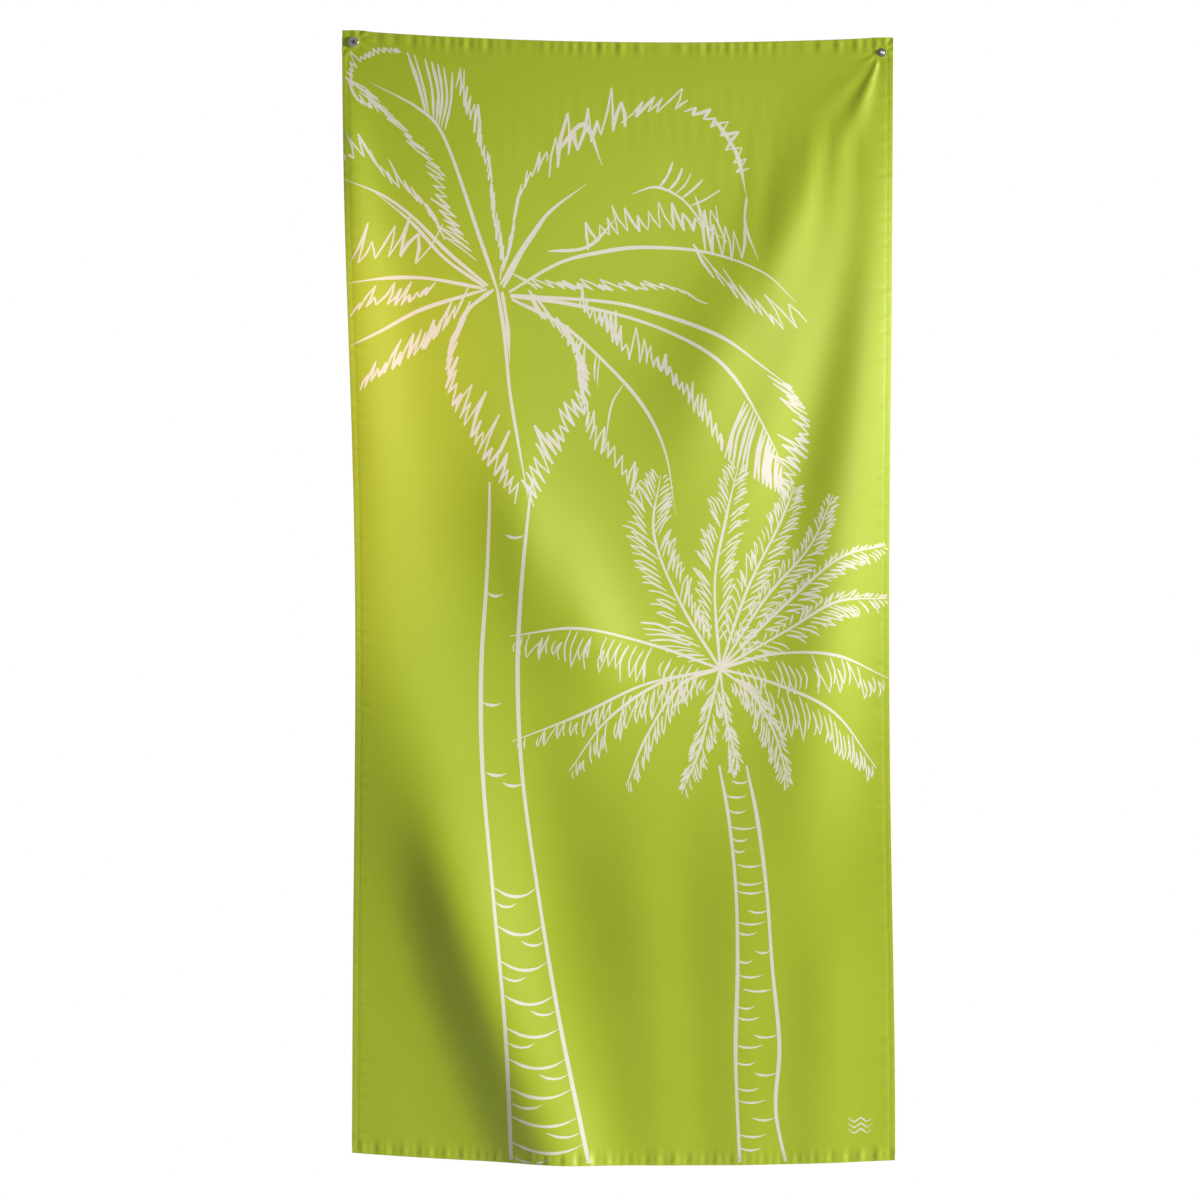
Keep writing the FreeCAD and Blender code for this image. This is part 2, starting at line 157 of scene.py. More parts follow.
def hung_start():
    """Where each grid point of the flat cloth is on the CAD towel: between its side hems, below its top hem
    and on its folds."""
    left = outline(node_points("hem_left"), 2, 0, -1)
    right = outline(node_points("hem_right"), 2, 0, 1)
    top = outline(node_points("hem_top"), 0, 2, 1)
    panel = NODES["towel_panel"].data
    tree = BVHTree.FromPolygons([v.co for v in panel.vertices], [p.vertices for p in panel.polygons])
    start = np.zeros((DOWN_COUNT, ACROSS_COUNT, 3))
    for j in range(DOWN_COUNT):
        down = CLOTH_LENGTH * j / (DOWN_COUNT - 1)
        for i in range(ACROSS_COUNT):
            share = i / (ACROSS_COUNT - 1)
            x = (share - 0.5) * CLOTH_WIDTH
            z = top(x) - down
            x = (1 - share) * left(z) + share * right(z)
            hit = tree.ray_cast(Vector((x, -1, z)), Vector((0, 1, 0)))[0]
            if hit is None:
                hit = tree.find_nearest(Vector((x, 0, z)))[0]
            start[j, i] = (x, hit.y, z)
    return start


def flat_grid():
    """The same grid lying flat, which is the size that the cloth was cut to."""
    flat = np.zeros((DOWN_COUNT, ACROSS_COUNT, 3))
    flat[..., 0] = np.linspace(0, CLOTH_WIDTH, ACROSS_COUNT)[None, :]
    flat[..., 2] = -np.linspace(0, CLOTH_LENGTH, DOWN_COUNT)[:, None]
    return flat


def grid_quads(rows, columns):
    index = np.arange(rows * columns).reshape(rows, columns)
    corners = (index[:-1, :-1], index[1:, :-1], index[1:, 1:], index[:-1, 1:])
    return np.stack(corners, -1).reshape(-1, 4)


SETTLE_FRAMES = 20
CLAMPED_REACH = 11 * MM
HOLD = 0.2
TOP_HOLD = 0.9
TOP_REACH = 60 * MM
# stiffness and damping of each way that the cloth can give
SPRINGS = {"tension": (40, 10), "compression": (40, 10), "shear": (10, 10), "bending": (0.5, 1)}


def settle(start):
    """Blender's cloth, cut flat and clamped at the two fasteners, settles from its starting folds for under
    a second. A weak pull towards those folds, stronger along the top edge, keeps them where the towel has
    them."""
    mesh = bpy.data.meshes.new("cloth_grid")
    mesh.from_pydata(start.reshape(-1, 3).tolist(), [], grid_quads(DOWN_COUNT, ACROSS_COUNT).tolist())
    cloth = add_object("cloth_grid", mesh)
    scene = bpy.context.scene
    flat = flat_grid().reshape(-1, 3)
    cloth.shape_key_add(name="hung")
    cut = cloth.shape_key_add(name="cut")
    cut.data.foreach_set("co", flat.ravel())
    held = cloth.vertex_groups.new(name="held")
    for index, (_, _, height) in enumerate(flat):
        held.add([index], HOLD + (TOP_HOLD - HOLD) * math.exp(-((height / TOP_REACH) ** 2)), "REPLACE")
    for fastener in FASTENERS:
        near = from_fastener(fastener, flat[:, 0], -flat[:, 2])[2] < CLAMPED_REACH
        held.add(np.nonzero(near)[0].tolist(), 1.0, "REPLACE")
    modifier = cloth.modifiers.new("cloth", "CLOTH")
    settings = modifier.settings
    settings.rest_shape_key = cut
    settings.vertex_group_mass = "held"
    settings.pin_stiffness = 1.0
    settings.quality = 5
    settings.mass = 0.15
    settings.air_damping = 2.0
    for way, (stiffness, damping) in SPRINGS.items():
        setattr(settings, way + "_stiffness", stiffness)
        setattr(settings, way + "_damping", damping)
    modifier.collision_settings.use_collision = False
    modifier.point_cache.frame_start = 1
    modifier.point_cache.frame_end = SETTLE_FRAMES
    scene.frame_start, scene.frame_end = 1, SETTLE_FRAMES
    for number in range(1, SETTLE_FRAMES + 1):
        scene.frame_set(number)
    evaluated = cloth.evaluated_get(bpy.context.evaluated_depsgraph_get())
    settled = np.empty(len(flat) * 3)
    evaluated.to_mesh().vertices.foreach_get("co", settled)
    evaluated.to_mesh_clear()
    bpy.data.objects.remove(cloth)
    bpy.data.meshes.remove(mesh)
    scene.frame_set(1)
    return settled.reshape(DOWN_COUNT, ACROSS_COUNT, 3)


def ease(amount):
    """0 to 1 with level ends."""
    amount = np.clip(amount, 0.0, 1.0)
    return amount * amount * (3.0 - 2.0 * amount)


CALM_PASSES = 8
CALM_START = 120 * MM
CALM_FULL = 520 * MM


def calmed(grid):
    """The grid without the faint flutes narrower than the folds, which the facets of the CAD towel leave
    behind. The narrow folds near the top stay as they are."""
    grid = grid.copy()
    down = np.linspace(0, CLOTH_LENGTH, DOWN_COUNT)
    share = ease((down - CALM_START) / (CALM_FULL - CALM_START))[:, None]
    for _ in range(CALM_PASSES):
        depth = grid[..., 1]
        level = 0.5 * depth[:, 1:-1] + 0.25 * (depth[:, :-2] + depth[:, 2:])
        grid[:, 1:-1, 1] += share * (level - depth[:, 1:-1])
    return grid


RIPPLE_SINES = 5
RIPPLE_PEAK = 1.4


def ripple(along, seed, wavelengths):
    """An uneven wave, mostly from -1 to 1: a few sines whose lengths and phases are drawn from a seed."""
    draw = random.Random(seed)
    total = np.zeros_like(along)
    for _ in range(RIPPLE_SINES):
        wavelength = draw.uniform(*wavelengths)
        total += np.sin(2 * math.pi * (along / wavelength + draw.random()))
    return total / RIPPLE_SINES**0.5 / RIPPLE_PEAK


class HangingCloth:
    """The settled cloth as a smooth surface over the flat one, with what is too fine for the simulation."""

    FLAT_RADIUS = 9 * MM
    FREE_RADIUS = 26 * MM
    CORNER_SHARE = 0.35
    PUCKER = 0.55 * MM
    PUCKER_REACH = 10 * MM
    PUCKER_LENGTHS = (11 * MM, 34 * MM)
    STITCH_DIP = 0.3 * MM
    STITCH_DIP_WIDTH = 1.0 * MM
    PULL = 0.8 * MM
    PULL_COUNT = 7
    PULL_START = 10 * MM
    PULL_FADE = 28 * MM
    # rise and half width as shares of the distance from the fastener, and the way across and down
    SWAGS = ((0.06, 0.16, (-0.38, 0.92)), (0.02, 0.18, (-0.75, 0.67)))
    SWAG_START = 10 * MM
    SWAG_FADE = (50 * MM, 150 * MM)
    STEP = 0.5 * MM
    FINE_STEP = 0.4 * MM

    def __init__(self, grid):
        padded = np.pad(grid, ((1, 1), (1, 1), (0, 0)))
        padded[0], padded[-1] = 2 * padded[1] - padded[2], 2 * padded[-2] - padded[-3]
        padded[:, 0], padded[:, -1] = 2 * padded[:, 1] - padded[:, 2], 2 * padded[:, -2] - padded[:, -3]
        self.grid = padded

    @staticmethod
    def weights(t):
        """The four weights of a uniform cubic B-spline."""
        return (
            (1 - t) ** 3 / 6,
            (3 * t**3 - 6 * t**2 + 4) / 6,
            (-3 * t**3 + 3 * t**2 + 3 * t + 1) / 6,
            t**3 / 6,
        )

    def smooth(self, across, down):
        """Points of the settled cloth, flat under the fasteners."""
        u = np.clip(across / CLOTH_WIDTH, 0, 1) * (ACROSS_COUNT - 1)
        v = np.clip(down / CLOTH_LENGTH, 0, 1) * (DOWN_COUNT - 1)
        i = np.minimum(u.astype(int), ACROSS_COUNT - 2)
        j = np.minimum(v.astype(int), DOWN_COUNT - 2)
        across_weights, down_weights = self.weights(u - i), self.weights(v - j)
        points = np.zeros((len(across), 3))
        for row in range(4):
            for column in range(4):
                weight = down_weights[row] * across_weights[column]
                points += weight[:, None] * self.grid[j + row, i + column]
        for fastener in FASTENERS:
            centre = fastener[2]
            right, below, _ = from_fastener(fastener, across, down)
            outer = np.where(right * centre.x > 0, self.CORNER_SHARE, 1) * right
            upper = np.where(below < 0, self.CORNER_SHARE, 1) * below
            distance = np.hypot(outer, upper)
            free = ease((distance - self.FLAT_RADIUS) / (self.FREE_RADIUS - self.FLAT_RADIUS))[:, None]
            level = np.stack([centre.x + right, np.zeros_like(right), centre.z - below], -1)
            points = points * free + level * (1 - free)
        return points

    def swags(self, right, below, distance):
        """Two folds that start sharp at the right fastener and give way to the CAD towel's wide ones."""
        fade_start, fade_end = self.SWAG_FADE
        share = ease(distance / self.SWAG_START - 1)
        share *= 1 - ease((distance - fade_start) / (fade_end - fade_start))
        out = np.zeros_like(right)
        for rise, half_width, (heading_right, heading_below) in self.SWAGS:
            along = np.maximum(right * heading_right + below * heading_below, 1 * MM)
            aside = right * heading_below - below * heading_right
            out += rise * along * np.exp(-((aside / (half_width * along)) ** 2))
        return share * out

    def fine(self, across, down):
        """How far the cloth stands out from the smooth surface: hem puckers, the stitch line's dip, the short
        pulls that spread from each fastener, and the two folds that start at the right one."""
        out = np.zeros_like(across)
        edges = (
            (down, across, 1, 1.0),
            (CLOTH_LENGTH - down, across, 2, 1.3),
            (across, down, 3, 0.7),
            (CLOTH_WIDTH - across, down, 4, 0.7),
        )
        for inward, along, seed, share in edges:
            window = np.exp(-(((inward - STITCH_INSET) / self.PUCKER_REACH) ** 2))
            out += self.PUCKER * share * window * ripple(along, seed, self.PUCKER_LENGTHS)
        inward = np.minimum.reduce([edge[0] for edge in edges])
        out -= self.STITCH_DIP * np.exp(-(((inward - STITCH_INSET) / self.STITCH_DIP_WIDTH) ** 2))
        for fastener in FASTENERS:
            right, below, distance = from_fastener(fastener, across, down)
            window = ease((distance - self.FLAT_RADIUS) / self.PULL_START)
            window *= np.exp(-distance / self.PULL_FADE)
            turn = np.arctan2(below, right)
            out += self.PULL * window * np.cos(self.PULL_COUNT * turn + 2.6 * np.sin(2 * turn + 1))
            if fastener[2] is STUD:
                out += self.swags(right, below, distance)
            out *= ease((distance - 0.8 * self.FLAT_RADIUS) / (0.4 * self.FLAT_RADIUS))
        return out

    @staticmethod
    def slopes(surface, across, down, step):
        """How a surface runs to the right and down for each metre of cloth, and the direction out of its
        front."""
        right = (surface(across + step, down) - surface(across - step, down)) / (2 * step)
        below = (surface(across, down + step) - surface(across, down - step)) / (2 * step)
        out = np.cross(below, right)
        return right, below, out / np.linalg.norm(out, axis=1, keepdims=True)

    def front(self, across, down):
        out = self.slopes(self.smooth, across, down, self.STEP)[2]
        return self.smooth(across, down) + out * self.fine(across, down)[:, None]

    def at(self, across, down, behind):
        """Points at a depth behind the front of the cloth, and the direction out of the front at each. Places
        a little outside the cloth's edges carry straight on from them."""
        step = self.FINE_STEP
        inside_across = np.clip(across, step, CLOTH_WIDTH - step)
        inside_down = np.clip(down, step, CLOTH_LENGTH - step)
        point = self.front(inside_across, inside_down)
        right, below, out = self.slopes(self.front, inside_across, inside_down, step)
        point += right * (across - inside_across)[:, None] + below * (down - inside_down)[:, None]
        return point - out * np.reshape(behind, (-1, 1)), out


# --------------------------------------------------------------------------------------- the print

# The print is drawn with a brush pen on the flat cloth. Its own units are millimetres across and down.


def curve_through(points, steps):
    """A smooth line through a few points, with the given number of steps from each to the next."""
    points = [Vector(p) for p in points]
    ends = [2 * points[0] - points[1], *points, 2 * points[-1] - points[-2]]
    line = []
    for a, b, c, d in zip(ends, ends[1:], ends[2:], ends[3:]):
        for step in range(steps):
            t = step / steps
            bend, twist = 2 * a - 5 * b + 4 * c - d, 3 * b - a - 3 * c + d
            line.append(0.5 * (2 * b + (c - a) * t + bend * t * t + twist * t**3))
    return [*line, points[-1]]


BRUSH_STEP = 11.0
LEAST_PATCH = 0.02
HEAVY_SHARE = 0.25


def square_to(direction):
    return Vector((-direction.y, direction.x))


class Pen:
    """Collects the ink as small three-cornered patches of the flat cloth."""

    def __init__(self, seed):
        self.random = random.Random(seed)
        self.patches = []

    def add(self, corners):
        """One patch of ink, unless it is a sliver. The corners of all patches run the same way round."""
        a, b, c = corners
        area = (b - a).cross(c - a)
        if area < 0:
            corners = (a, c, b)
        if abs(area) > LEAST_PATCH:
            self.patches.append(corners)

    def line(self, points, widths):
        """A line through the points, as wide at each as its width says."""
        sides = []
        for i, (point, width) in enumerate(zip(points, widths)):
            direction = points[min(i + 1, len(points) - 1)] - points[max(i - 1, 0)]
            if direction.length < 1e-6:
                return
            across = square_to(direction.normalized()) * (0.5 * width)
            sides.append((point + across, point - across))
        for (a, b), (c, d) in zip(sides, sides[1:]):
            self.add((a, b, d))
            self.add((a, d, c))

    def brush(self, points, width, start=0.3, end=0.12):
        """A smooth stroke that swells to its full width and thins to a share of it at each end."""
        length = sum((Vector(b) - Vector(a)).length for a, b in zip(points, points[1:]))
        steps = math.ceil(length / (len(points) - 1) / BRUSH_STEP)
        line = curve_through(points, steps)
        count = len(line) - 1
        tremble = self.random.uniform(0, 6)
        widths = []
        for i in range(count + 1):
            t = i / count
            swell = min(start + 3.0 * t, end + 2.2 * (1 - t), 1.0)
            widths.append(width * swell * (1 + 0.14 * math.sin(tremble + 11 * t)))
        self.line(line, widths)

    def scratch(self, a, b, width):
        """One quick mark of a line that goes back and forth, a little bowed and thicker in its middle."""
        bow = square_to(b - a) * self.random.uniform(-0.07, 0.07)
        middle = (a + b) / 2 + bow
        self.line([a, middle, b], [0.6 * width, width, 0.6 * width])

    def scribble(self, path, tooth, pitch, width):
        """A zigzag that follows a path. Its teeth reach from the path by the vector tooth, unevenly, and
        some of its marks are nearly twice as wide."""
        line = curve_through(path, 10)
        tooth = Vector(tooth)
        walked, due, out, last = 0.0, 0.0, False, None
        for a, b in zip(line, line[1:]):
            walked += (b - a).length
            while due < walked:
                corner = b - (b - a).normalized() * (walked - due)
                if out:
                    corner = corner + tooth * self.random.choice((0.45, 0.6, 0.8, 1.0, 1.35))
                else:
                    corner = corner - tooth * self.random.uniform(0.0, 0.2)
                if last is not None:
                    heavy = self.random.random() < HEAVY_SHARE
                    self.scratch(last, corner, width * (1.7 if heavy else self.random.uniform(0.8, 1.1)))
                last, out = corner, not out
                due += pitch * self.random.uniform(0.6, 1.5)

    def blades(self, starts, ends, count, width):
        """Separate strokes from one path to another, thin where they leave the first."""
        from_line, to_line = curve_through(starts, 8), curve_through(ends, 8)
        for k in range(count):
            t = (k + self.random.uniform(0.2, 0.8)) / count
            a = from_line[round(t * (len(from_line) - 1))]
            b = to_line[round(t * (len(to_line) - 1))]
            bow = square_to(b - a) * self.random.uniform(0.02, 0.1)
            self.brush([a, (a + b) / 2 + bow, b], width * self.random.uniform(0.7, 1.3), start=0.3, end=0.5)

    def feather(self, rib, reaches, width, hang, spacing):
        """A rib with narrow looped leaflets on both sides, slanted towards its tip. reaches are the longest
        on the left and on the right, and hang turns them down."""
        self.brush(rib, 1.7 * width, start=1.0, end=0.3)
        line = curve_through(rib, 10)
        length = sum((b - a).length for a, b in zip(line, line[1:]))
        for side, reach in zip((-1, 1), reaches):
            count = round(length / spacing) if reach else 0
            last = None
            for k in range(count):
                t = 0.1 + 0.9 * (k + self.random.uniform(0.1, 0.9)) / count
                i = min(int(t * (len(line) - 1)), len(line) - 2)
                root, ahead = line[i], (line[i + 1] - line[i]).normalized()
                outwards = (square_to(ahead) * side + ahead).normalized()
                outwards = (outwards * (1 - hang) + Vector((0, 1)) * hang).normalized()
                size = reach * math.sin(math.pi * (0.14 + 0.78 * t)) ** 0.7 * self.random.uniform(0.72, 1.12)
                tip = root + outwards * size
                inner = root + outwards * (size * self.random.uniform(0.05, 0.45))
                bow = ahead * (0.1 * size)
                self.brush([inner, (inner + tip) / 2 + bow, tip], width, start=0.5, end=0.6)
                if last is not None and self.random.random() < 0.6:
                    self.brush([tip, (tip + last) / 2 - outwards * (0.1 * size), last], 0.8 * width, 0.6, 0.6)
                last = inner


def draw_tall_crown(pen):
    """The large crown at the upper left: long bare ribs, with ragged outlines that hang clear of them."""
    heart = (217, 357)
    ribs = (
        [heart, (192, 280), (146, 146), (108, 104), (40, 72)],
        [(204, 352), (148, 308), (100, 262), (56, 232), (1, 213)],
        [(200, 354), (142, 316), (96, 268), (40, 225)],
        [(196, 356), (118, 346), (60, 349), (1, 361)],
        [(202, 357), (108, 390), (44, 427), (2, 450)],
        [(212, 357), (176, 386), (156, 424)],
        [(206, 360), (170, 392), (150, 432)],
        [(222, 350), (262, 286), (296, 243), (350, 202)],
        [(226, 354), (256, 300), (290, 252)],
        [(234, 360), (306, 317), (366, 300), (430, 292), (520, 299), (602, 329), (650, 372)],
        [(236, 364), (374, 370), (453, 387), (541, 420), (604, 464), (642, 492)],
        [(236, 366), (320, 374), (424, 397), (512, 436), (562, 480), (606, 552), (636, 612)],
        [(238, 370), (310, 404), (366, 451), (424, 514), (459, 584), (474, 672)],
        [heart, (226, 420), (232, 500), (244, 580), (258, 660)],
        [(224, 360), (231, 410), (233, 462)],
    )
    for rib in ribs:
        pen.brush(rib, 5.0, start=0.7)
    # path, tooth, pitch, width
    outlines = (
        ([(50, 112), (20, 96), (16, 56), (52, 28), (86, 26)], (-8, -12), 3.4, 2.6),
        ([(163, 66), (178, 104), (196, 150), (208, 200), (214, 262), (228, 330)], (3, -30), 6.5, 2.7),
        ([(44, 90), (76, 122), (112, 160), (140, 196), (150, 240), (186, 318)], (-30, -18), 6.2, 2.3),
        ([(2, 186), (36, 176), (62, 208), (96, 226), (128, 262), (146, 296)], (-16, -30), 6.5, 2.8),
        ([(4, 330), (36, 322), (70, 316), (104, 318), (124, 326)], (22, -56), 11, 3.2),
        ([(4, 406), (34, 388), (66, 386), (96, 376), (122, 364)], (14, -24), 6.5, 3.2),
        ([(14, 512), (30, 496), (62, 474), (100, 452), (140, 412), (162, 394)], (12, -30), 6.0, 3.2),
        ([(222, 340), (236, 300), (246, 240), (268, 196), (296, 168)], (8, -30), 7.5, 2.8),
        ([(296, 190), (322, 160), (352, 138), (384, 126), (408, 118)], (4, -46), 10, 3.4),
        ([(402, 112), (450, 96), (494, 96)], (22, -30), 9, 3.0),
        ([(494, 96), (536, 122), (560, 168), (570, 200)], (20, -14), 8, 3.0),
        ([(348, 290), (384, 272), (430, 262), (480, 264), (524, 268), (556, 284)], (-12, -36), 7.0, 2.6),
        ([(270, 352), (330, 352), (400, 352), (470, 352), (520, 372)], (-26, -14), 7.0, 2.8),
        ([(528, 330), (562, 360), (604, 392), (640, 412), (668, 400)], (-26, -38), 9, 2.6),
        ([(336, 376), (368, 404), (404, 446), (456, 468), (500, 520), (544, 578)], (2, -34), 5.6, 3.0),
        ([(642, 492), (666, 530), (668, 574), (652, 610), (640, 636)], (-30, -20), 4.6, 3.0),
        ([(310, 420), (330, 452), (338, 514), (352, 572), (388, 604), (420, 656)], (6, -26), 6.0, 2.8),
        ([(152, 424), (142, 462), (146, 510), (176, 566), (204, 612), (240, 656)], (20, -40), 6.2, 3.2),
        ([(262, 660), (286, 616), (312, 566), (340, 520), (346, 470), (322, 426), (276, 390)],
         (-22, -34), 5.8, 3.2),
    )
    for path, tooth, pitch, width in outlines:
        pen.scribble(path, tooth, pitch, width)
    pen.blades([(118, 112), (134, 124), (148, 134)], [(88, 24), (128, 36), (162, 52)], 7, 4.2)
    pen.blades([(572, 506), (604, 546), (634, 612)], [(540, 588), (590, 622), (640, 652)], 14, 4.6)
    pen.brush([(292, 300), (350, 292), (392, 250)], 5.0)
    pen.brush([(536, 112), (566, 160), (580, 222)], 5.4, start=0.6)
    pen.brush([(580, 222), (578, 262), (596, 312)], 4.0, start=0.6)
    pen.brush([(306, 160), (346, 118), (372, 176)], 7.0)
    pen.scribble([(520, 296), (548, 306), (584, 300)], (-4, -44), 6.0, 2.6)
    pen.brush([(414, 216), (450, 206), (488, 224), (520, 262), (552, 284)], 3.4)
    pen.blades([(450, 206), (476, 216), (500, 236)], [(470, 168), (500, 186), (548, 214)], 5, 3.0)
    pen.blades([(330, 420), (352, 438), (372, 458)], [(328, 440), (350, 470), (366, 502)], 4, 2.6)
    pen.brush([(398, 488), (380, 520), (370, 584)], 2.8)


def draw_short_crown(pen):
    """The smaller crown at the middle right: feathers with fine leaflets drawn right up to their ribs."""
    heart = (540, 892)
    # points of the rib from the heart, reach of the leaflets on the left and right, how much they hang
    fronds = (
        ([heart, (480, 796), (442, 700), (452, 616)], (58, 44), 0.0),
        ([heart, (532, 770), (548, 680), (566, 604)], (46, 44), 0.0),
        ([heart, (580, 780), (626, 690), (650, 634)], (32, 40), 0.0),
        ([heart, (606, 794), (672, 720), (706, 648)], (24, 34), 0.0),
        ([heart, (636, 802), (716, 738), (786, 722)], (14, 36), 0.1),
        ([heart, (640, 838), (712, 800), (788, 798)], (22, 40), 0.1),
        ([heart, (620, 872), (710, 876), (788, 912)], (0, 62), 0.75),
        ([heart, (620, 914), (708, 958), (770, 1040)], (0, 66), 0.75),
        ([heart, (588, 930), (622, 990), (640, 1062)], (30, 40), 0.3),
        ([heart, (548, 960), (560, 1010), (556, 1040)], (26, 20), 0.35),
        ([heart, (524, 954), (508, 1010), (482, 1070)], (36, 30), 0.3),
        ([heart, (480, 916), (430, 990), (400, 1060)], (40, 0), 0.6),
        ([heart, (452, 912), (372, 966), (316, 1040)], (50, 0), 0.7),
        ([heart, (430, 914), (330, 960), (232, 1000)], (34, 0), 0.8),
        ([heart, (440, 858), (330, 836), (228, 850)], (58, 0), 0.75),
    )
    for rib, reaches, hang in fronds:
        pen.feather(rib, reaches, 2.3, hang, 9.2 + 2 * hang)
    pen.blades([(470, 838), (500, 862), (528, 880)], [(420, 822), (440, 856), (500, 886)], 8, 2.6)


def draw_trunk(pen, rows, width):
    """Both sides of a trunk. rows are how far down, and where across the left and the right side are. Returns
    a function that gives the point at a depth and a share of the way across."""
    sides = []
    for column in (1, 2):
        path = [(row[column], row[0]) for row in rows]
        pen.brush(path, width, start=0.5, end=0.9)
        sides.append(curve_through(path, 8))
    depths = [point.y for point in sides[0]]

    def place(down, share):
        left, right = (np.interp(down, depths, [point.x for point in side]) for side in sides)
        return Vector((left + (right - left) * share, down))

    return place


def draw_ring(pen, place, down, start, end, width, bow=4):
    """A bowed mark across a trunk, from one share of its width to another."""
    steps = [k / 4 for k in range(5)]
    pen.brush([place(down + 4 * bow * t * (1 - t), start + (end - start) * t) for t in steps], width)


def draw_tall_trunk(pen):
    rows = (
        (632, 200, 262), (700, 198, 254), (780, 194, 246), (900, 186, 240),
        (1040, 188, 246), (1200, 203, 268), (1400, 222, 302), (1596, 232, 344),
    )
    place = draw_trunk(pen, rows, 5.6)
    for down, start, end in (
        (706, 0.45, 0.95), (790, 0.05, 0.5), (946, 0.05, 0.55), (1046, 0.1, 0.6), (1060, 0.5, 0.98),
    ):
        draw_ring(pen, place, down, start, end, 4.2)
    for row, down in enumerate((1208, 1262, 1312, 1360, 1406, 1450, 1492, 1532, 1570)):
        draw_ring(pen, place, down, 0.02, 0.98, 4.2, bow=13)
        start = 0.5 if row % 2 else 0.04
        draw_ring(pen, place, down + 22, start, start + 0.46, 3.4, bow=6)


def draw_short_trunk(pen):
    rows = (
        (1030, 538, 578), (1110, 552, 594), (1210, 561, 606), (1320, 562, 613),
        (1430, 558, 622), (1520, 560, 616), (1596, 564, 630),
    )
    place = draw_trunk(pen, rows, 5.2)
    top, length, count = 1052, 540, 27
    for k in range(count):
        down = top + length * (k + pen.random.uniform(-0.25, 0.25)) / count
        reach = pen.random.uniform(0.4, 1.0)
        start, end = (0.02, reach) if k % 3 else (1 - reach, 0.98)
        draw_ring(pen, place, down, start, end, 3.0)


def draw_corner_mark(pen):
    """Three small waves near the bottom right corner."""
    for row in range(3):
        points = [(722 + 9 * k, 1540 + 8 * row + (3.2 if k % 2 else -3.2)) for k in range(5)]
        pen.brush(points, 2.2)


def draw_print():
    pen = Pen(seed=11)
    draw_tall_trunk(pen)
    draw_short_trunk(pen)
    draw_tall_crown(pen)
    draw_short_crown(pen)
    draw_corner_mark(pen)
    return pen.patches


# --------------------------------------------------------------------------------------- the panel

GRID_PITCH = 10 * MM
# how far in from each edge the grid lines along a hem are, in millimetres, and how close their points are
SEAM_LINES = (0, 3, 5.8, 7.4, 9, 12.4, 17)
SEAM_PITCH = 4 * MM
# radii in millimetres of the rings of points round a fastener, and how many points each has
FASTENER_RINGS = (4, 6, 8, 9.5, 11, 13, 15.5, 18.5, 22, 26, 31, 37, 44, 52, 61, 71, 82, 94)
RING_POINTS = 88
HOLE_SIDES = 32
HOLE_CLEAR = 1.2 * HOLE_RADIUS
HOLE_INSIDE = 0.99 * HOLE_RADIUS
# how far inside the cloth's edges the ink and the back's grid stay, in millimetres
EDGE_MARGIN = 0.3


def lines_across(length):
    """Places of grid lines over a length: close together along both hems and evenly spaced between them."""
    seam = [line * MM for line in SEAM_LINES]
    count = round((length - 2 * seam[-1]) / GRID_PITCH)
    between = np.linspace(seam[-1], length - seam[-1], count + 1)[1:-1]
    return np.concatenate([seam, between, [length - line for line in reversed(seam)]])


def ring_points(centre, radius, count):
    turns = np.arange(count) * 2 * math.pi / count
    return [(centre[0] + radius * math.cos(t), centre[1] + radius * math.sin(t)) for t in turns]


def grid_places():
    """Places on the flat cloth that its triangles join: a grid, closer by the hems and fasteners."""
    across, down = lines_across(CLOTH_WIDTH), lines_across(CLOTH_LENGTH)
    seam = len(SEAM_LINES)
    places = [(a, d) for a in across for d in down]
    for a in (*across[:seam], *across[-seam:]):
        places.extend((a, d) for d in np.arange(SEAM_PITCH, CLOTH_LENGTH, SEAM_PITCH))
    for d in (*down[:seam], *down[-seam:]):
        places.extend((a, d) for a in np.arange(SEAM_PITCH, CLOTH_WIDTH, SEAM_PITCH))
    for centre in FASTENERS:
        for ring in FASTENER_RINGS:
            places.extend(ring_points(centre, ring * MM, RING_POINTS))
    places = np.array(places)
    inside = (places >= 0).all(1) & (places[:, 0] <= CLOTH_WIDTH) & (places[:, 1] <= CLOTH_LENGTH)
    places = places[inside]
    for fastener in FASTENERS:
        places = places[from_fastener(fastener, *places.T)[2] > HOLE_CLEAR]
    return [tuple(place) for place in np.unique(np.round(places, 6), axis=0)]


def triangulated(places, edges):
    """Triangles of the flat cloth, without its two holes, that join the places in millimetres and keep to the
    edges. Returns the places in metres, the triangles, and the number that each place had to begin with."""
    result = delaunay_2d_cdt(places, edges, [], 0, 1e-4, True)
    flat = np.array([tuple(v) for v in result[0]]) * MM
    triangles = np.array(result[2])
    a, b, c = (flat[triangles[:, i]] for i in range(3))
    area = (b[:, 0] - a[:, 0]) * (c[:, 1] - a[:, 1]) - (b[:, 1] - a[:, 1]) * (c[:, 0] - a[:, 0])
    triangles[area > 0] = triangles[area > 0][:, ::-1]
    centres = flat[triangles].mean(1)
    keep = np.ones(len(triangles), bool)
    for fastener in FASTENERS:
        keep &= from_fastener(fastener, *centres.T)[2] > HOLE_INSIDE
    triangles = triangles[keep]
    used = np.unique(triangles)
    number = np.full(len(flat), -1)
    number[used] = np.arange(len(used))
    sources = [result[3][i][0] if result[3][i] else -1 for i in used]
    return flat[used], number[triangles], np.array(sources)


